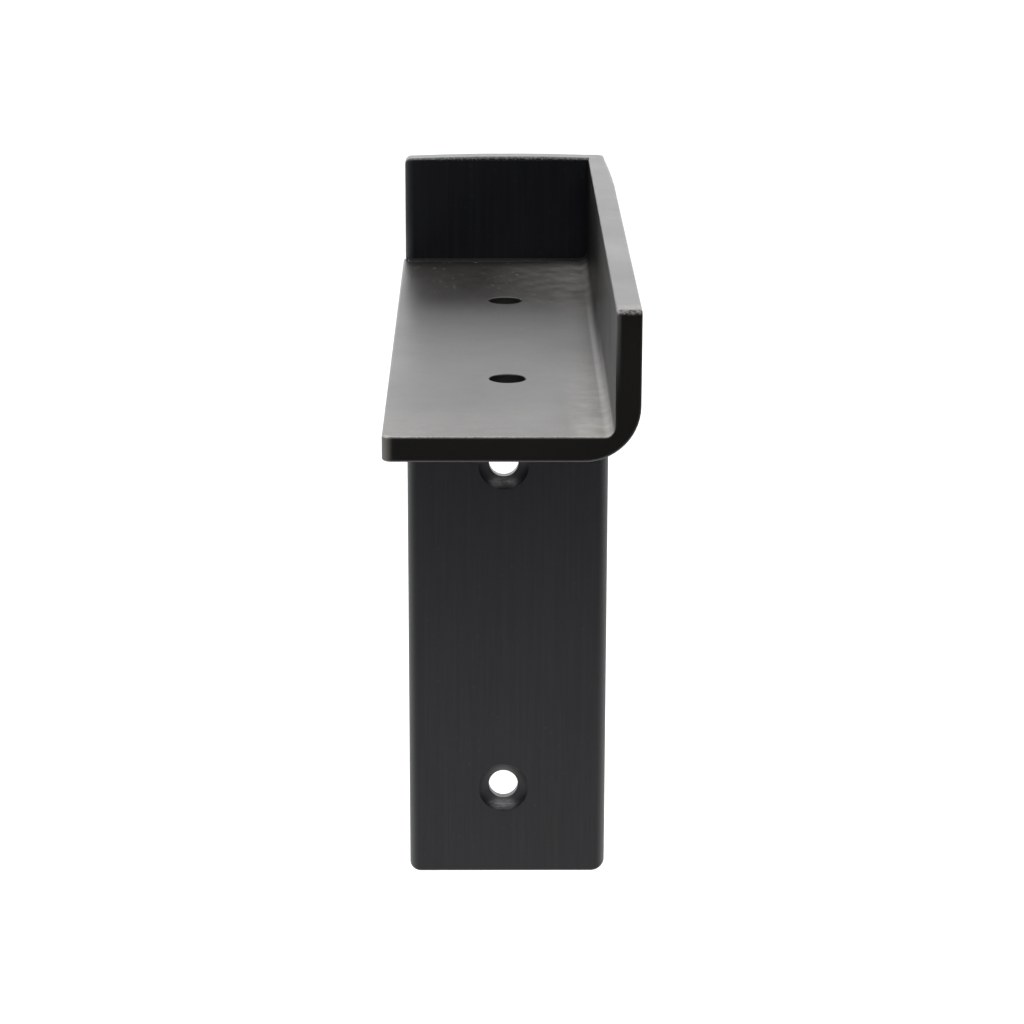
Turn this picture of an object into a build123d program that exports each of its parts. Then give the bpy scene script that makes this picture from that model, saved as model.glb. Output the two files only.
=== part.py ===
"""Right-hand end bracket for a wall shelf, welded up from flat bar and a folded angle.

X runs across the bracket, positive to the right for someone facing the wall. The wall is the
plane Y = 0 and the arm reaches out along -Y. Z = 0 is the seat that carries the board.
The origin is on the wall face, on the plate's centreline, level with the seat.
"""

import os

from build123d import *

# Wall plate: a length of flat bar, upright against the wall
plate_width = 50.4
plate_thickness = 5.0
plate_drop = 162.3  # from the seat down to the plate's foot
plate_top_rise = 0.3  # the top edge bows up this much in the middle
plate_top_fall = 0.25  # and is dressed this much lower at its left end
top_left_corner = 1.5
foot_left_corner = 2.8
foot_right_corner = 3.5
plate_front_round = 0.7  # arrises, softened by the coating
plate_back_round = 0.4

# Shelf arm: one strip folded along its length, a flat seat with an upstand on the right
arm_reach = 172.0  # from the plate's front face to the nose
arm_thickness = 5.0
lip_height = 25.0  # from the seat to the top of the upstand and of the plate
open_edge_step = 0.5  # the seat's open edge stands this far past the plate's left edge
lip_step = 0.75  # the upstand's outer face lies this far inside the plate's right edge
bend_inside = 2.0
bend_outside = 11.0  # the fold is dressed round on the outside
nose_side_round = 1.8  # the nose's upright corner on the open side
nose_top_round = 1.2  # the upstand's top corner at the nose
seat_edge_round = 0.45  # arrises round the seat and inside the upstand
outer_edge_round = 0.55  # arrises of the underside and outside the upstand

# The outer corner weld is ground flush, which takes a little off the upstand and the plate
dressed_depth = 1.05  # off the upstand's outer face, where it meets the plate
dressed_length = 45.0  # how far along the upstand that fades out
dressed_clear = 0.05  # the cut starts this far off the upstand, so that it enters at an angle
dressed_corner = 3.0  # radius of the plate's upright corner behind it
dressed_fade = 60.0  # how far below the fold the plate's corner fades back to square

# Screw holes: two countersunk in the plate, two plain ones up through the arm
hole_shift = -1.0  # every hole lies this far off the plate's centreline
wall_hole_diameter = 7.5
countersink_diameter = 12.8
countersink_angle = 90.0
wall_hole_below_seat = 52.5
wall_hole_above_foot = 23.3
arm_hole_diameter = 7.5
arm_hole_from_plate = 48.0
arm_hole_from_nose = 48.0
hole_rim_round = 0.3

# Welds between the plate and the arm's rear end, each following the arm round the fold
seat_bead_leg = 3.0  # along the seat: ground down low, so that the board still seats
seat_bead_rise = 0.5  # up the plate
seat_bead_root = 0.6  # how deep it fills the bevel along the arm's rear edge
seat_bead_wrap = 75.0  # degrees round the inside of the fold
underside_bead_leg = 5.0
underside_bead_bulge = 0.7
underside_bead_wrap = 38.0  # degrees round the outside of the fold
underside_bead_margin = 1.5  # where it starts, in from the open edge
bead_end_round = 1.2

# Places worked out from the sizes above
plate_right = plate_width / 2
plate_left = -plate_right
plate_front = -plate_thickness
foot = -plate_drop
nose = plate_front - arm_reach
underside = -arm_thickness
open_edge = plate_left - open_edge_step
lip_outside = plate_right - lip_step
lip_inside = lip_outside - arm_thickness


def nearest_vertex(shape, point):
    return shape.vertices().sort_by_distance(point)[0]


def nearest_edge(shape, point):
    return shape.edges().sort_by_distance(point)[0]


def round_edges(shape, diameter):
    """The circular edges of that diameter, such as a hole's two rims."""
    circles = shape.edges().filter_by(GeomType.CIRCLE)
    return circles.filter_by(lambda edge: abs(2 * edge.radius - diameter) < 0.01)


def plate_outline():
    """The flat bar cut to length, with its corners ground a little."""
    top_left = (plate_left, lip_height - plate_top_fall)
    top_middle = (0, lip_height + plate_top_rise)
    lip_corner = (lip_inside, lip_height)
    top = Line((plate_right, lip_height), lip_corner) + ThreePointArc(lip_corner, top_middle, top_left)
    sides = Polyline(top_left, (plate_left, foot), (plate_right, foot), (plate_right, lip_height))
    outline = make_face(top + sides)
    corners = {
        top_left: top_left_corner,
        (plate_left, foot): foot_left_corner,
        (plate_right, foot): foot_right_corner,
    }
    for point, radius in corners.items():
        outline = fillet(nearest_vertex(outline, point), radius)
    return outline


def dressing():
    """What the grinder takes off, upright down to the fold and then fading out."""
    beside = plate_right + dressed_corner
    behind = dressed_corner
    fade_in = (lip_outside + dressed_clear, plate_front - dressed_length)
    flush = (lip_outside - dressed_depth, plate_front)
    corner = (flush[0], -dressed_corner)
    wall_side = (flush[0] - dressed_corner, 0)
    ground = TangentArc(fade_in, flush, tangent=(0, 1)) + Line(flush, corner)
    ground += RadiusArc(corner, wall_side, -dressed_corner)
    around = Polyline(
        wall_side, (wall_side[0], behind), (beside, behind), (beside, fade_in[1]), fade_in
    )
    plan = make_face(ground + around)
    fold_top = underside + bend_outside
    cut = extrude(Pos(Z=fold_top) * plan, lip_height)
    clear_of_plate = Pos(plate_right - wall_side[0], 0, fold_top - dressed_fade)
    return cut + loft([clear_of_plate * plan, Pos(Z=fold_top) * plan], ruled=True)


def dressed_top():
    """The waste outside the rounded top of the dressed corner, through the plate."""
    radius = outer_edge_round
    centre = Pos(lip_outside - dressed_depth - radius, lip_height - radius)
    square = centre * Rectangle(2 * radius, 2 * radius, align=Align.MIN)
    return extrude(Plane.XZ * (square - centre * Circle(radius)), plate_thickness)


def wall_plate():
    blank = extrude(Plane.XZ * plate_outline(), plate_thickness)
    blank = fillet(blank.faces().sort_by(Axis.Y)[0].edges(), plate_front_round)
    blank = fillet(blank.faces().sort_by(Axis.Y)[-1].edges(), plate_back_round)

    # The upstand is welded to a square edge, so the rounded one is made good there.
    rounded = plate_front_round
    square = Box(plate_right - lip_inside, rounded, rounded, align=(Align.MIN, Align.MIN, Align.MAX))
    blank += Pos(lip_inside, plate_front, lip_height) * square
    blank -= dressing()
    blank -= dressed_top()

    screws = [(hole_shift, -wall_hole_below_seat), (hole_shift, foot + wall_hole_above_foot)]
    with BuildPart() as plate:
        add(blank)
        with Locations(Plane.XZ.offset(plate_thickness)):
            with Locations(*screws):
                CounterSinkHole(
                    radius=wall_hole_diameter / 2,
                    counter_sink_radius=countersink_diameter / 2,
                    counter_sink_angle=countersink_angle,
                )
        fillet(round_edges(plate.part, countersink_diameter), hole_rim_round)
    return plate.part


def arm_section():
    """The folded strip end-on: a flat seat, the fold and the upstand."""
    section = make_face(
        Polyline(
            (open_edge, 0),
            (lip_inside, 0),
            (lip_inside, lip_height),
            (lip_outside, lip_height),
            (lip_outside, underside),
            (open_edge, underside),
            close=True,
        )
    )
    section = fillet(nearest_vertex(section, (lip_inside, 0)), bend_inside)
    return fillet(nearest_vertex(section, (lip_outside, underside)), bend_outside)


def shelf_arm():
    arm = extrude(Plane.XZ.offset(plate_thickness) * arm_section(), arm_reach)
    arm -= dressing()

    arm = fillet(nearest_edge(arm, (open_edge, nose, underside / 2)), nose_side_round)
    top_corner = (lip_outside - arm_thickness / 2, nose, lip_height)
    arm = fillet(nearest_edge(arm, top_corner), nose_top_round)

    # Each of these edges brings in the whole smooth chain that it belongs to: along the open
    # edge, round the nose and back along the top of the upstand.
    mid_arm = plate_front - arm_reach / 2
    arm = fillet(nearest_edge(arm, (open_edge, mid_arm, 0)), seat_edge_round)
    mid_dressing = (lip_outside - dressed_depth / 4, plate_front - dressed_length / 2, lip_height)
    outer_edges = [
        nearest_edge(arm, (open_edge, mid_arm, underside)),
        nearest_edge(arm, mid_dressing),
    ]
    arm = fillet(outer_edges, outer_edge_round)
    arm -= seat_weld()  # bevelled along its rear edge, where the bead fills it

    screws = [
        (hole_shift, plate_front - arm_hole_from_plate, 0),
        (hole_shift, nose + arm_hole_from_nose, 0),
    ]
    with BuildPart() as drilled:
        add(arm)
        with Locations(*screws):
            Hole(arm_hole_diameter / 2, depth=arm_thickness)
        fillet(round_edges(drilled.part, arm_hole_diameter), hole_rim_round)
    return drilled.part


def follow_fold(start, centre, radius, wrap):
    """A path on the plate's front face, along the flat of the arm and on round its fold."""
    level = centre[1] - radius
    flat = Line((start, level), (centre[0], level))
    turn = CenterArc(centre, radius, -90, wrap)
    return Plane.XZ.offset(plate_thickness) * (flat + turn)


def bead(path, leg, rise, root, skin, above_arm):
    """A weld bead swept along the path, in the corner between plate and arm."""
    across = Plane(path @ 0, x_dir=(0, -1, 0), z_dir=(-1 if above_arm else 1, 0, 0))
    section = make_face(Polyline((0, rise), (0, -root), (leg, 0)) + skin)
    return sweep(across * section, path=path)


def seat_weld():
    """The low bead at the back of the seat, which fills the arm's bevelled edge."""
    leg, rise, root = seat_bead_leg, seat_bead_rise, seat_bead_root
    fold_centre = (lip_inside - bend_inside, bend_inside)
    start = plate_left + plate_front_round
    path = follow_fold(start, fold_centre, bend_inside, seat_bead_wrap)
    return bead(path, leg, rise, root, skin=Line((leg, 0), (0, rise)), above_arm=True)


def underside_weld():
    """The fillet bead under the arm that carries the load, a little proud of flat."""
    leg = underside_bead_leg
    fold_centre = (lip_outside - bend_outside, underside + bend_outside)
    start = open_edge + outer_edge_round + underside_bead_margin
    path = follow_fold(start, fold_centre, bend_outside, underside_bead_wrap)
    skin = SagittaArc((leg, 0), (0, leg), -underside_bead_bulge)
    weld = bead(path, leg, rise=leg, root=0, skin=skin, above_arm=False)
    across_skin = round_edges(weld, 2 * skin.radius).sort_by(Axis.X)
    return fillet([across_skin[0], across_skin[-1]], bead_end_round)


os.makedirs("parts", exist_ok=True)
nodes = {
    "wall_plate": wall_plate(),
    "shelf_arm": shelf_arm(),
    "seat_weld": seat_weld(),
    "underside_weld": underside_weld(),
}
for name, part in nodes.items():
    export_step(part, f"parts/{name}.step")
    print(name, f"{part.volume:.1f} mm3")
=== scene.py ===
import math

import bmesh
import bpy
from mathutils import Matrix, Vector


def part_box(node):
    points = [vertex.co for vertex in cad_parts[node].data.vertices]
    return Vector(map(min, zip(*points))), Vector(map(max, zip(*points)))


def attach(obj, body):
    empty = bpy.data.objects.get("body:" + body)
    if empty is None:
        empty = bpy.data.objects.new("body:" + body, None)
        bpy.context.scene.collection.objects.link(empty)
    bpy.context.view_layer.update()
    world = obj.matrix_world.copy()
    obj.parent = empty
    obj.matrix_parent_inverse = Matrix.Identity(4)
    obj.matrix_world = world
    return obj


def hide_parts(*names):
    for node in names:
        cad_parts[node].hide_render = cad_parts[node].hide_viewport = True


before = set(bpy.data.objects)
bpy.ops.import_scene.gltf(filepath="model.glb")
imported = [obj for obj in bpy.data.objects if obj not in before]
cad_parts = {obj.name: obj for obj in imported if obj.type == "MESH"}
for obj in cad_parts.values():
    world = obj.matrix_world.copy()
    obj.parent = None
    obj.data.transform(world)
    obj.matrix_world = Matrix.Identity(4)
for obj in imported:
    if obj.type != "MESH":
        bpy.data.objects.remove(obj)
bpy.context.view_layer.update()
mm = 0.001


def hexColour(text):
    # sRGB hex to the linear colour that a shader takes
    parts = [int(text[i : i + 2], 16) / 255 for i in (1, 3, 5)]
    return [p / 12.92 if p <= 0.04045 else ((p + 0.055) / 1.055) ** 2.4 for p in parts] + [1.0]


def addNode(tree, kind, values=None, links=None, **settings):
    # one node: its settings, its socket values, and the nodes or sockets that feed it
    node = tree.nodes.new(kind)
    for key, value in settings.items():
        setattr(node, key, value)
    sockets = {socket.identifier: socket for socket in node.inputs}
    for key, value in (values or {}).items():
        socket = node.inputs[key] if isinstance(key, int) else sockets.get(key) or node.inputs[key]
        socket.default_value = value
    for key, source in (links or {}).items():
        socket = node.inputs[key] if isinstance(key, int) else sockets.get(key) or node.inputs[key]
        tree.links.new(source.outputs[0] if hasattr(source, "outputs") else source, socket)
    return node


# Sizes that the marks below are placed by, read from the solids
armLow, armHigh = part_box("shelf_arm")
plateLow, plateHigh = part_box("wall_plate")
noseY, plateFront = armLow[1], armHigh[1]

coat = {
    "reflection": 0.36,  # specular level: a little under the usual 0.5 of a paint
    "peelSize": 1.6 * mm,  # orange peel, crest to crest
    "peelHeight": 0.010 * mm,
    "grainSize": 0.30 * mm,  # the fine pebbling of a satin powder, drawn a little coarse so that it shows
    "grainHeight": 0.006 * mm,
    "speckleSize": 0.50 * mm,  # lumps where an edge is rough under the coat; on the plate and arm edges their pale crests are painted glints
    "speckleHeight": 0.07 * mm,
    "cloudSize": 26 * mm,  # slow changes in sheen from one place to the next
}


def powderCoat(name, finish, marks):
    # Powder coat, sprayed and baked on steel: a satin black skin, dark from the front and grey
    # where light grazes it, with faint orange peel, fine pebbling and a few pale specks.
    # Most pale places below are painted light: painted highlights and painted reflections, set to the look of
    # the real piece. What makes them pale, such as dust, a thin coat or a reflection, is a guess. The small
    # pale specks are dust.
    # marks draws what is special to one piece: where its coat is paler, painted light for the most part,
    # where it is rough, and where dust has settled, if that isn't everywhere.
    material = bpy.data.materials.new(name)
    material.use_nodes = True
    tree = material.node_tree
    tree.nodes.clear()
    place = addNode(tree, "ShaderNodeTexCoord").outputs["Object"]
    axes = addNode(tree, "ShaderNodeSeparateXYZ", links={0: place}).outputs
    speckle = addNode(
        tree, "ShaderNodeTexNoise", {"Scale": 1 / coat["speckleSize"], "Detail": 3.0, "Roughness": 0.65},
        {"Vector": place},
    )
    pale, rough, settled = marks(tree, place, axes, speckle)

    peel = addNode(
        tree, "ShaderNodeTexNoise", {"Scale": 1 / coat["peelSize"], "Detail": 1.5}, {"Vector": place}
    )
    grain = addNode(
        tree, "ShaderNodeTexNoise", {"Scale": 1 / coat["grainSize"], "Detail": 2.0, "Roughness": 0.6},
        {"Vector": place},
    )
    speckled = addNode(tree, "ShaderNodeMath", {}, {0: speckle, 1: rough}, operation="MULTIPLY")
    speckleBump = addNode(
        tree, "ShaderNodeBump", {"Strength": 1.0, "Distance": coat["speckleHeight"]}, {"Height": speckled}
    )
    peelBump = addNode(
        tree, "ShaderNodeBump", {"Strength": 1.0, "Distance": coat["peelHeight"]},
        {"Height": peel, "Normal": speckleBump},
    )
    grainBump = addNode(
        tree, "ShaderNodeBump", {"Strength": 1.0, "Distance": coat["grainHeight"]},
        {"Height": grain, "Normal": peelBump},
    )

    # Pale specks, more of them in some patches than in others
    specks = addNode(
        tree, "ShaderNodeTexVoronoi", {"Scale": 1 / finish["dustGap"], "Randomness": 1.0}, {"Vector": place}
    )
    speckSize = addNode(
        tree, "ShaderNodeMapRange", {"From Min": 0.09, "From Max": 0.19, "To Min": 1.0, "To Max": 0.0},
        {"Value": specks.outputs["Distance"]},
    )
    patches = addNode(
        tree, "ShaderNodeTexNoise", {"Scale": 1 / (6 * mm), "Detail": 4.0, "Roughness": 0.6},
        {"Vector": place}
    )
    patchy = addNode(
        tree, "ShaderNodeMapRange", {"From Min": 0.45, "From Max": 0.62, "To Max": finish["dust"]},
        {"Value": patches},
    )
    if settled:
        patchy = addNode(tree, "ShaderNodeMath", {}, {0: patchy, 1: settled}, operation="MULTIPLY")
    paleness = addNode(
        tree, "ShaderNodeMath", {},
        {0: speckSize, 1: patchy, 2: pale}, operation="MULTIPLY_ADD", use_clamp=True
    )
    # The pale colour serves both the dust specks and the painted light.
    colour = addNode(
        tree, "ShaderNodeMix",
        {"A_Color": hexColour(finish["colour"]), "B_Color": hexColour(finish["dustAndPaintedLightColour"])},
        {"Factor_Float": paleness}, data_type="RGBA",
    )

    cloud = addNode(
        tree, "ShaderNodeTexNoise", {"Scale": 1 / coat["cloudSize"], "Detail": 4.0, "Roughness": 0.6},
        {"Vector": place},
    )
    sheen = addNode(
        tree, "ShaderNodeMapRange",
        {
            "From Min": 0.3, "From Max": 0.7,
            "To Min": finish["roughness"] - 0.03, "To Max": finish["roughness"] + 0.03,
        },
        {"Value": cloud},
    )
    dulled = addNode(
        tree, "ShaderNodeMath", {1: 0.25}, {0: paleness, 2: sheen}, operation="MULTIPLY_ADD", use_clamp=True
    )
    skin = addNode(
        tree, "ShaderNodeBsdfPrincipled", {"Specular IOR Level": coat["reflection"], "IOR": 1.5},
        {"Base Color": colour.outputs[2], "Roughness": dulled, "Normal": grainBump},
    )
    addNode(tree, "ShaderNodeOutputMaterial", {}, {"Surface": skin})
    return material


plateFinish = {
    "colour": "#14151a",
    "dustAndPaintedLightColour": "#a1a2a3",
    "roughness": 0.36,
    "dustGap": 2.6 * mm,
    "dust": 0.02,
    "arris": 2.6 * mm,  # how far in the painted highlight runs along the bar's long edges
    "arrisPaintedHighlight": 0.62,
    "arrisAbove": 0.4,  # how much of that there is above the seat
    "brushGap": 0.9 * mm,  # between faint upright streaks
    "brushPaleness": 0.016,
    "screws": [-52.5 * mm, -139.0 * mm],  # heights of the two countersinks
    "screwLine": -1.0 * mm,
    "countersinkRadius": 6.2 * mm,
    "countersinkPaintedHighlight": 0.75,
    "countersinkRingPaintedLight": 0.13,
    "grooveGap": 0.45 * mm,
}


def plateMarks(tree, place, axes, speckle):
    # A painted highlight along the bar's long edges, on the front face alone
    aside = addNode(tree, "ShaderNodeMath", {}, {0: axes["X"]}, operation="ABSOLUTE")
    inEdge = addNode(
        tree, "ShaderNodeMapRange",
        {"From Min": plateHigh[0] - plateFinish["arris"], "From Max": plateHigh[0]}, {"Value": aside},
    )
    steep = addNode(tree, "ShaderNodeMath", {1: 2.6}, {0: inEdge}, operation="POWER")
    onFront = addNode(
        tree, "ShaderNodeMapRange",
        {"From Min": plateFront + 0.9 * mm, "From Max": plateFront + 0.4 * mm}, {"Value": axes["Y"]},
    )
    steep = addNode(tree, "ShaderNodeMath", {}, {0: steep, 1: onFront}, operation="MULTIPLY")
    weaker = addNode(
        tree, "ShaderNodeMapRange",
        {"From Min": 10 * mm, "From Max": -8 * mm, "To Min": plateFinish["arrisAbove"], "To Max": 1.0},
        {"Value": axes["Z"]},
    )
    steep = addNode(tree, "ShaderNodeMath", {}, {0: steep, 1: weaker}, operation="MULTIPLY")

    # Faint streaks run up and down: noise drawn out forty times longer than it is wide
    drawn = addNode(tree, "ShaderNodeMapping", {"Scale": (1, 1, 1 / 40)}, {"Vector": place})
    brush = addNode(
        tree, "ShaderNodeTexNoise", {"Scale": 1 / plateFinish["brushGap"], "Detail": 3.0, "Roughness": 0.7},
        {"Vector": drawn},
    )
    brushed = addNode(
        tree, "ShaderNodeMapRange",
        {"From Min": 0.4, "From Max": 0.8, "To Max": plateFinish["brushPaleness"]},
        {"Value": brush},
    )
    pale = addNode(
        tree, "ShaderNodeMath", {1: plateFinish["arrisPaintedHighlight"]},
        {0: steep, 2: brushed}, operation="MULTIPLY_ADD"
    )

    # The top edge is rough under the coat; pale crests along it are painted glints.
    rough = addNode(
        tree, "ShaderNodeMapRange",
        {"From Min": plateHigh[2] - 1.1 * mm, "From Max": plateHigh[2] - 0.7 * mm},
        {"Value": axes["Z"]},
    )
    crests = addNode(
        tree, "ShaderNodeMapRange", {"From Min": 0.45, "From Max": 0.62, "To Max": 0.25}, {"Value": speckle}
    )
    topPaintedGlints = addNode(tree, "ShaderNodeMath", {}, {0: crests, 1: rough}, operation="MULTIPLY")

    # Each countersink has a grooved painted highlight on its lower side. The grooves run across there,
    # so the noise is drawn out sideways.
    turned = addNode(tree, "ShaderNodeMapping", {"Scale": (1 / 5, 1, 1)}, {"Vector": place})
    grooves = addNode(
        tree, "ShaderNodeTexNoise", {"Scale": 1 / plateFinish["grooveGap"], "Detail": 2.0, "Roughness": 0.6},
        {"Vector": turned},
    )
    streaky = addNode(
        tree, "ShaderNodeMapRange",
        {"From Min": 0.36, "From Max": 0.68, "To Min": 0.12, "To Max": plateFinish["countersinkPaintedHighlight"]},
        {"Value": grooves},
    )
    inSink = addNode(
        tree, "ShaderNodeMapRange", {"From Min": -2.2 * mm, "From Max": -2.5 * mm}, {"Value": axes["Y"]}
    )
    for height in plateFinish["screws"]:
        fromAxis = addNode(
            tree, "ShaderNodeVectorMath", {1: (-plateFinish["screwLine"], 0, -height)},
            {0: place}, operation="ADD"
        )
        flat = addNode(tree, "ShaderNodeVectorMath", {1: (1, 0, 1)}, {0: fromAxis}, operation="MULTIPLY")
        away = addNode(tree, "ShaderNodeVectorMath", {}, {0: flat}, operation="LENGTH").outputs["Value"]
        offset = addNode(tree, "ShaderNodeSeparateXYZ", links={0: flat}).outputs
        inside = addNode(
            tree, "ShaderNodeMapRange",
            {
                "From Min": plateFinish["countersinkRadius"],
                "From Max": plateFinish["countersinkRadius"] - 1.6 * mm,
            },
            {"Value": away},
        )
        inside = addNode(tree, "ShaderNodeMath", {}, {0: inside, 1: inSink}, operation="MULTIPLY")
        below = addNode(
            tree, "ShaderNodeMapRange", {"From Min": -3.8 * mm, "From Max": -5.0 * mm}, {"Value": offset["Z"]}
        )
        crescent = addNode(tree, "ShaderNodeMath", {}, {0: inside, 1: below}, operation="MULTIPLY")
        pale = addNode(tree, "ShaderNodeMath", {},
        {0: crescent, 1: streaky, 2: pale}, operation="MULTIPLY_ADD")
        # The whole countersink is painted a little paler as well: painted light.
        pale = addNode(
            tree, "ShaderNodeMath", {1: plateFinish["countersinkRingPaintedLight"]},
            {0: inside, 2: pale}, operation="MULTIPLY_ADD"
        )
    pale = addNode(tree, "ShaderNodeMath", {}, {0: topPaintedGlints, 1: pale}, operation="ADD")
    return pale, rough, None


armFinish = {
    "colour": "#181716",
    "dustAndPaintedLightColour": "#a5a29d",
    "roughness": 0.36,
    "dustGap": 2.2 * mm,
    "dust": 0.36,
    "foldLine": 17.4 * mm,
    "rearPaintedLight": 0.026,  # painted light at the back of the seat
    "cornerPaintedLight": 0.16,  # and more of it towards the upstand
    "foldPaintedLight": 0.52,  # along the fold, most of all near the nose
    "frontPaintedLight": 0.14,  # and at the front of the seat
    "blotchSize": 4.5 * mm,  # the painted light lies unevenly
    "noseCornerHighlight": 0.6,  # painted highlight on the nose's upright corner
    "noseCornerHighlightWidth": 2.4 * mm,
    "innerEdgeHighlight": 0.26,  # painted highlight down the nose's rounded inner edge
    "upstandInside": 19.45 * mm,  # the upstand's inner face
    "skinDepth": 0.15 * mm,  # the painted light stops this far below the seat's face
    "rimDepth": 1.0 * mm,  # how far the rough rims reach
}


def armMarks(tree, place, axes, speckle):
    inside, skin, rim = armFinish["upstandInside"], armFinish["skinDepth"], armFinish["rimDepth"]

    # Painted light on the seat, a pale wash stronger towards the upstand, at the back and at the front
    towardsPlate = addNode(
        tree, "ShaderNodeMapRange", {"From Min": plateFront - 75 * mm, "From Max": plateFront - 20 * mm},
        {"Value": axes["Y"]}, interpolation_type="SMOOTHSTEP",
    )
    towardsUpstand = addNode(
        tree, "ShaderNodeMapRange",
        {
            "From Min": -8 * mm, "From Max": armFinish["foldLine"],
            "To Min": armFinish["rearPaintedLight"],
            "To Max": armFinish["rearPaintedLight"] + armFinish["cornerPaintedLight"],
        },
        {"Value": axes["X"]}, interpolation_type="SMOOTHSTEP",
    )
    rear = addNode(tree, "ShaderNodeMath", {}, {0: towardsPlate, 1: towardsUpstand}, operation="MULTIPLY")
    clearOfWeld = addNode(
        tree, "ShaderNodeMapRange", {"From Min": plateFront - 4 * mm, "From Max": plateFront - 11 * mm},
        {"Value": axes["Y"]},
    )
    rear = addNode(tree, "ShaderNodeMath", {}, {0: rear, 1: clearOfWeld}, operation="MULTIPLY")
    besideFold = addNode(
        tree, "ShaderNodeMapRange",
        {"From Min": armFinish["foldLine"] - 9 * mm, "From Max": armFinish["foldLine"] - 2.5 * mm},
        {"Value": axes["X"]}, interpolation_type="SMOOTHSTEP",
    )
    towardsNose = addNode(
        tree, "ShaderNodeMapRange",
        {
            "From Min": noseY + 75 * mm, "From Max": noseY + 10 * mm,
            "To Min": 0.06, "To Max": armFinish["foldPaintedLight"],
        },
        {"Value": axes["Y"]},
    )
    fold = addNode(tree, "ShaderNodeMath", {}, {0: besideFold, 1: towardsNose}, operation="MULTIPLY")
    paintedSeatLight = addNode(tree, "ShaderNodeMath", {}, {0: rear, 1: fold}, operation="ADD")
    front = addNode(
        tree, "ShaderNodeMapRange",
        {"From Min": noseY + 32 * mm, "From Max": noseY, "To Max": armFinish["frontPaintedLight"]},
        {"Value": axes["Y"]},
    )
    paintedSeatLight = addNode(tree, "ShaderNodeMath", {}, {0: paintedSeatLight, 1: front}, operation="MAXIMUM")
    notAbove = addNode(
        tree, "ShaderNodeMapRange", {"From Min": 1.6 * mm, "From Max": 0.3 * mm}, {"Value": axes["Z"]}
    )
    notBelow = addNode(
        tree, "ShaderNodeMapRange", {"From Min": -skin - 0.2 * mm, "From Max": -skin}, {"Value": axes["Z"]}
    )
    onSeat = addNode(tree, "ShaderNodeMath", {}, {0: notAbove, 1: notBelow}, operation="MULTIPLY")
    insideFold = addNode(
        tree, "ShaderNodeMapRange",
        {"From Min": inside + 0.25 * mm, "From Max": inside + 0.05 * mm}, {"Value": axes["X"]},
    )
    onSeat = addNode(tree, "ShaderNodeMath", {}, {0: onSeat, 1: insideFold}, operation="MULTIPLY")
    offNose = addNode(
        tree, "ShaderNodeMapRange", {"From Min": noseY + 0.12 * mm, "From Max": noseY + 0.3 * mm},
        {"Value": axes["Y"]}
    )
    onSeat = addNode(tree, "ShaderNodeMath", {}, {0: onSeat, 1: offNose}, operation="MULTIPLY")
    blotches = addNode(
        tree, "ShaderNodeTexNoise", {"Scale": 1 / armFinish["blotchSize"], "Detail": 3.0, "Roughness": 0.6},
        {"Vector": place},
    )
    uneven = addNode(
        tree, "ShaderNodeMapRange", {"From Min": 0.35, "From Max": 0.65, "To Min": 0.7, "To Max": 1.3},
        {"Value": blotches},
    )
    paintedLight = addNode(tree, "ShaderNodeMath", {}, {0: paintedSeatLight, 1: uneven}, operation="MULTIPLY")
    paintedLight = addNode(tree, "ShaderNodeMath", {}, {0: paintedLight, 1: onSeat}, operation="MULTIPLY")

    # The nose's upright corner on the open side gets a painted highlight.
    nearNose = addNode(
        tree, "ShaderNodeMapRange", {"From Min": noseY + 2.4 * mm, "From Max": noseY + 1.2 * mm},
        {"Value": axes["Y"]}
    )
    atCorner = addNode(
        tree, "ShaderNodeMapRange",
        {
            "From Min": armLow[0] + armFinish["noseCornerHighlightWidth"], "From Max": armLow[0] + 0.1 * mm,
            "To Max": armFinish["noseCornerHighlight"],
        },
        {"Value": axes["X"]}, interpolation_type="SMOOTHSTEP",
    )
    paintedLight = addNode(tree, "ShaderNodeMath", {}, {0: nearNose, 1: atCorner, 2: paintedLight}, operation="MULTIPLY_ADD")

    # The upstand's inner edge at the nose gets a faint painted highlight.
    beforeEdge = addNode(
        tree, "ShaderNodeMapRange",
        {"From Min": inside + 1.05 * mm, "From Max": inside + 0.15 * mm, "To Max": armFinish["innerEdgeHighlight"]},
        {"Value": axes["X"]},
    )
    afterEdge = addNode(
        tree, "ShaderNodeMapRange", {"From Min": inside - 0.25 * mm, "From Max": inside - 0.05 * mm},
        {"Value": axes["X"]},
    )
    atEdge = addNode(tree, "ShaderNodeMath", {}, {0: beforeEdge, 1: afterEdge}, operation="MULTIPLY")
    aboveFold = addNode(
        tree, "ShaderNodeMapRange", {"From Min": 8 * mm, "From Max": 22 * mm}, {"Value": axes["Z"]}
    )
    atEdge = addNode(tree, "ShaderNodeMath", {}, {0: atEdge, 1: aboveFold}, operation="MULTIPLY")
    paintedLight = addNode(tree, "ShaderNodeMath", {}, {0: nearNose, 1: atEdge, 2: paintedLight}, operation="MULTIPLY_ADD")

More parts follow.
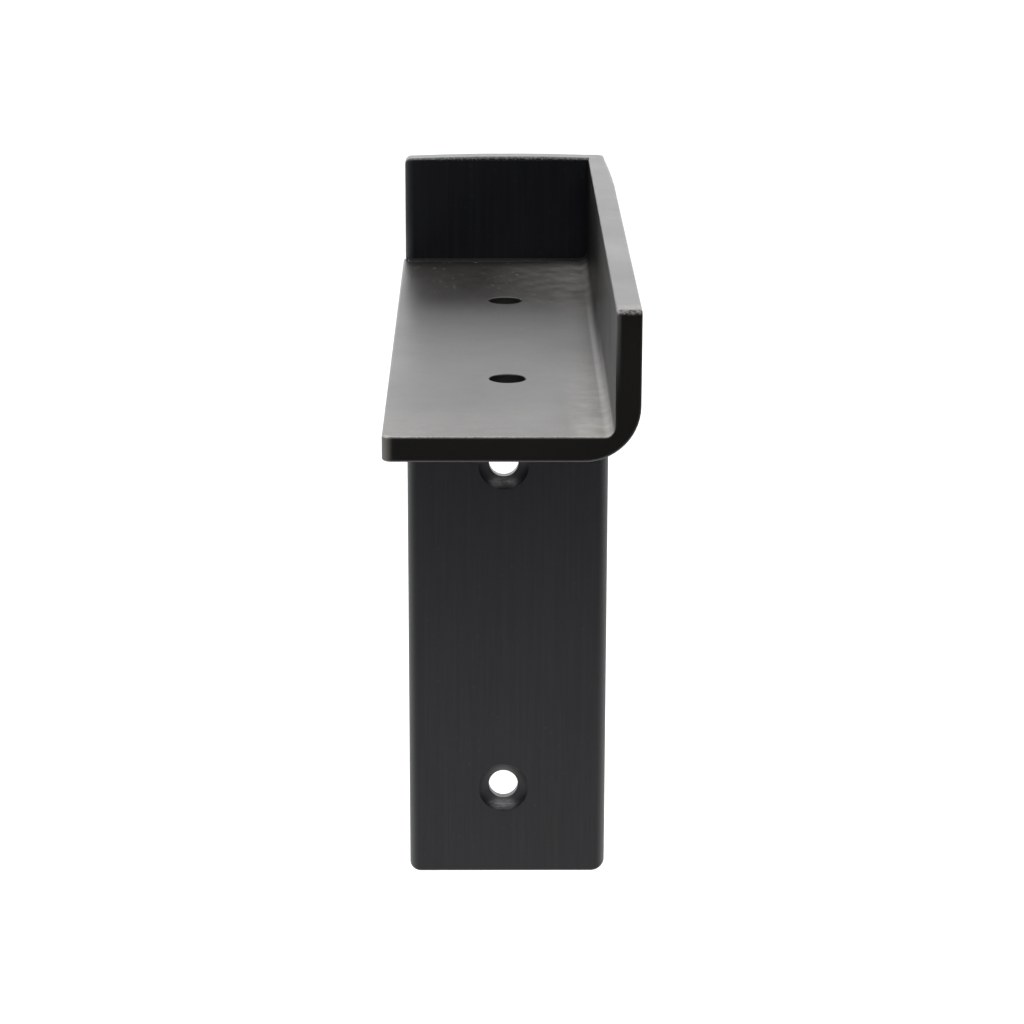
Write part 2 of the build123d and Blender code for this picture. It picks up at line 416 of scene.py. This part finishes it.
    # The nose's top edges are rough under the coat, most of all on the upstand; their pale crests are painted
    # glints.
    cap = addNode(
        tree, "ShaderNodeMapRange", {"From Min": armHigh[2] - rim, "From Max": armHigh[2] - rim + 0.4 * mm},
        {"Value": axes["Z"]},
    )
    capEnd = addNode(
        tree, "ShaderNodeMapRange", {"From Min": noseY + 5.5 * mm, "From Max": noseY + 3.5 * mm},
        {"Value": axes["Y"]}
    )
    rimEnd = addNode(
        tree, "ShaderNodeMapRange", {"From Min": noseY + rim, "From Max": noseY + rim / 2},
        {"Value": axes["Y"]}
    )
    onCap = addNode(tree, "ShaderNodeMath", {}, {0: cap, 1: capEnd}, operation="MULTIPLY")
    onRim = addNode(tree, "ShaderNodeMath", {}, {0: onSeat, 1: rimEnd}, operation="MULTIPLY")
    rough = addNode(tree, "ShaderNodeMath", {}, {0: onCap, 1: onRim}, operation="MAXIMUM")
    crests = addNode(
        tree, "ShaderNodeMapRange", {"From Min": 0.42, "From Max": 0.6, "To Max": 0.5}, {"Value": speckle}
    )
    pale = addNode(tree, "ShaderNodeMath", {}, {0: crests, 1: rough, 2: paintedLight}, operation="MULTIPLY_ADD")

    # The specks are thickest at the back, with none on the nose, underneath or outside the upstand.
    thick = addNode(tree, "ShaderNodeMath", {1: 0.7, 2: 0.3}, {0: towardsPlate}, operation="MULTIPLY_ADD")
    settled = addNode(tree, "ShaderNodeMath", {}, {0: thick, 1: offNose}, operation="MULTIPLY")
    settled = addNode(tree, "ShaderNodeMath", {}, {0: settled, 1: insideFold}, operation="MULTIPLY")
    settled = addNode(tree, "ShaderNodeMath", {}, {0: settled, 1: notBelow}, operation="MULTIPLY")
    return pale, rough, settled


weldFinish = {
    "colour": "#161616",
    "dustAndPaintedLightColour": "#a3a19e",
    "roughness": 0.46,
    "dustGap": 1.6 * mm,
    "dust": 0.2,
    "spatter": 0.05,
}


def weldMarks(tree, place, axes, speckle):
    # The coat lies thick and lumpy over a weld, with a pale crest here and there.
    crests = addNode(
        tree, "ShaderNodeMapRange", {"From Min": 0.55, "From Max": 0.75, "To Max": weldFinish["spatter"]},
        {"Value": speckle},
    )
    lumpy = addNode(
        tree, "ShaderNodeMapRange", {"From Min": 0.3, "From Max": 0.7, "To Min": 0.2, "To Max": 0.5},
        {"Value": speckle},
    )
    return crests, lumpy, None


plateCoat = powderCoat("satin black powder coat on brushed bar", plateFinish, plateMarks)
armCoat = powderCoat("satin black powder coat on folded strip", armFinish, armMarks)
weldCoat = powderCoat("satin black powder coat over weld", weldFinish, weldMarks)
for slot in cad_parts["wall_plate"].material_slots:
    slot.material = plateCoat
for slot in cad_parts["shelf_arm"].material_slots:
    slot.material = armCoat
print("coats ready")

# Each bead: where it starts and where the fold's centre is, in X and Z, how far it spreads along
# the arm's surface and away from it, and how deep its root lies below that surface.
seatBead = {
    "name": "seat_bead",
    "node": "seat_weld",
    "start": -24.5 * mm,
    "level": 0.0,
    "foldCentre": (17.45 * mm, 2.0 * mm),
    "wrap": 75,  # degrees round the fold
    "side": 1,  # above the arm, so the inside of the fold
    "spread": 3.05 * mm,
    "rise": 0.16 * mm,
    "root": 0.6 * mm,
    "bulge": 0.05 * mm,
    "ripple": 1.5 * mm,  # from one ripple to the next
    "rippleDepth": 0.06,
    "lead": 0.0,
    "wander": 0.25,
}
undersideBead = {
    "name": "underside_bead",
    "node": "underside_weld",
    "start": -23.65 * mm,
    "level": -5.0 * mm,
    "foldCentre": (13.45 * mm, 6.0 * mm),
    "wrap": 38,
    "side": -1,  # below the arm, so the outside of the fold
    "spread": 4.6 * mm,
    "rise": 4.6 * mm,
    "root": 0.0,
    "bulge": 0.7 * mm,
    "ripple": 1.1 * mm,
    "rippleDepth": 0.05,
    "lead": 0.45 * mm,
    "wander": 0.06,
}


def layBead(bead):
    # A hand-laid weld: its section is drawn out ring by ring, along the flat and round the fold,
    # swelling and shrinking a little at each ripple. Its section differs a little from the solid's.
    shape = bmesh.new()
    away = Vector((0, 0, bead["side"]))
    corner = Vector((bead["start"], plateFront, bead["level"]))
    skin = []
    points = 10
    for i in range(points + 1):
        along = i / points
        swell = bead["bulge"] * math.sin(math.pi * along)
        out = bead["spread"] * (1 - along) + swell * 0.7
        up = bead["rise"] * along + swell * 0.7
        lead = bead["lead"] * math.sin(math.pi * along)  # ripples curve forward in the middle
        skin.append(corner + Vector((lead, -out, 0)) + away * up)
    root = corner - away * bead["root"]
    ring = [shape.verts.new(point) for point in skin + [root]]
    loop = [shape.edges.new((a, b)) for a, b in zip(ring, ring[1:] + ring[:1])]
    shape.faces.new(ring)

    centre = Vector((bead["foldCentre"][0], 0, bead["foldCentre"][1]))
    stepsPerRipple = 6
    stride = bead["ripple"] / stepsPerRipple
    radius = abs(bead["foldCentre"][1] - bead["level"])
    flat = int((centre.x - bead["start"]) / stride)
    turn = max(12, int(math.radians(bead["wrap"]) * radius / stride))
    size = 1.0
    for step in range(flat + turn):
        grown = bmesh.ops.extrude_edge_only(shape, edges=loop)["geom"]
        ring = [item for item in grown if isinstance(item, bmesh.types.BMVert)]
        loop = [item for item in grown if isinstance(item, bmesh.types.BMEdge)]
        if step < flat:
            bmesh.ops.translate(shape, verts=ring, vec=((centre.x - bead["start"]) / flat, 0, 0))
            corner.x += (centre.x - bead["start"]) / flat
        else:
            swing = Matrix.Rotation(-math.radians(bead["wrap"]) / turn, 4, "Y")
            bmesh.ops.rotate(shape, verts=ring, cent=centre, matrix=swing)
            corner = centre + swing @ (corner - centre)
        phase = (step % stepsPerRipple) / stepsPerRipple
        wander = bead["wander"] * (1 + math.sin(step * 0.21) * 0.6 + math.sin(step * 0.083 + 2) * 0.4) / 2
        wanted = 1 + bead["rippleDepth"] * (1 - phase) + wander
        about = Matrix.Translation(-corner)
        bmesh.ops.scale(shape, verts=ring, vec=(1, wanted / size, 1), space=about)
        size = wanted
    bmesh.ops.edgeloop_fill(shape, edges=loop)
    bmesh.ops.remove_doubles(shape, verts=shape.verts, dist=0.001 * mm)
    bmesh.ops.recalc_face_normals(shape, faces=shape.faces)
    mesh = bpy.data.meshes.new(bead["name"])
    for face in shape.faces:
        face.smooth = True
    shape.to_mesh(mesh)
    shape.free()
    piece = bpy.data.objects.new(bead["name"], mesh)
    bpy.context.scene.collection.objects.link(piece)
    mesh.materials.append(weldCoat)
    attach(piece, "root")
    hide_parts(bead["node"])


layBead(seatBead)
layBead(undersideBead)
print("beads laid")

# A sheet of white paper lies under the piece and ends a little way in front of it, so that the
# faces which look that way reflect a dark room low down and stay black.
sheet = {
    "drop": 0.22,  # metres below the seat
    "front": -0.5,  # where it ends, towards the camera
    "back": 1.5,
    "width": 1.7,
    "colour": "#f4f4f2",
}

sheetShape = bmesh.new()
bmesh.ops.create_grid(sheetShape, x_segments=1, y_segments=1, size=0.5)
sheetLength = sheet["back"] - sheet["front"]
bmesh.ops.scale(sheetShape, verts=sheetShape.verts, vec=(sheet["width"], sheetLength, 1))
bmesh.ops.translate(
    sheetShape, verts=sheetShape.verts, vec=(0, (sheet["front"] + sheet["back"]) / 2, -sheet["drop"])
)
sheetMesh = bpy.data.meshes.new("floor")
sheetShape.to_mesh(sheetMesh)
sheetShape.free()
floor = bpy.data.objects.new("floor", sheetMesh)
bpy.context.scene.collection.objects.link(floor)
paper = bpy.data.materials.new("matt white paper")
paper.use_nodes = True
paper.node_tree.nodes["Principled BSDF"].inputs["Base Color"].default_value = hexColour(sheet["colour"])
paper.node_tree.nodes["Principled BSDF"].inputs["Roughness"].default_value = 0.9
sheetMesh.materials.append(paper)

# Softboxes: where each hangs, its width and height in metres, the way it tilts in degrees from
# straight down, and how bright its face is. Those behind put the grey sheen on the seat.
softboxes = {
    "overhead": {"place": (0, 0.1, 1.2), "size": (2.0, 1.2), "tilt": -5, "glow": 3.16},
    "high behind": {"place": (0, 1.2, 1.0), "size": (2.4, 1.0), "tilt": -50, "glow": 1.36},
    "behind": {"place": (0, 1.9, 0.75), "size": (3.0, 0.6), "tilt": -68.5, "glow": 2.18},
    "backdrop": {"place": (0, 2.4, 0.12), "size": (3.6, 0.84), "tilt": -90, "glow": 2.03},
    "over the camera": {"place": (0, -1.0, 1.3), "size": (2.0, 1.0), "tilt": 37.5, "glow": 2.75},
}

for name, box in softboxes.items():
    lamp = bpy.data.lights.new(name, "AREA")
    lamp.shape = "RECTANGLE"
    lamp.size, lamp.size_y = box["size"]
    lamp.energy = math.pi * box["glow"] * lamp.size * lamp.size_y  # watts for that brightness
    hung = bpy.data.objects.new(name, lamp)
    hung.location = box["place"]
    hung.rotation_euler = (math.radians(box["tilt"]), 0, 0)
    bpy.context.scene.collection.objects.link(hung)

# The room is dark, and shows white behind the piece from every side.
room = bpy.data.worlds.new("room")
bpy.context.scene.world = room
room.use_nodes = True
sky = room.node_tree
sky.nodes.clear()
ray = addNode(sky, "ShaderNodeLightPath")
glow = addNode(
    sky, "ShaderNodeBackground", {"Color": (1.2, 1.2, 1.2, 1)}, {"Strength": ray.outputs["Is Camera Ray"]}
)
addNode(sky, "ShaderNodeOutputWorld", {}, {"Surface": glow.outputs[0]})
print("lights set")

view = {
    "place": Vector((-5.602, -755.59, 153.00)) * mm,
    "turn": 0.0089,  # radians, to the right
    "tilt": 0.2825,  # radians, downwards
    "roll": 0.0022,
    "lens": 109.10,
}
ahead = Vector(
    (
        math.sin(view["turn"]) * math.cos(view["tilt"]),
        math.cos(view["turn"]) * math.cos(view["tilt"]),
        -math.sin(view["tilt"]),
    )
)
across = Vector((math.cos(view["turn"]), -math.sin(view["turn"]), 0))
above = across.cross(ahead)
rolledAcross = math.cos(view["roll"]) * across + math.sin(view["roll"]) * above
rolledAbove = math.cos(view["roll"]) * above - math.sin(view["roll"]) * across
cameraData = bpy.data.cameras.new("camera")
cameraData.lens = view["lens"]
cameraData.sensor_width = 36
cameraData.clip_start = 0.01
cameraData.clip_end = 100
camera = bpy.data.objects.new("camera", cameraData)
turned = Matrix((rolledAcross, rolledAbove, -ahead)).transposed().to_4x4()
camera.matrix_world = Matrix.Translation(view["place"]) @ turned
bpy.context.scene.collection.objects.link(camera)
bpy.context.scene.camera = camera
bpy.context.scene.view_settings.view_transform = "Standard"
print("camera set")
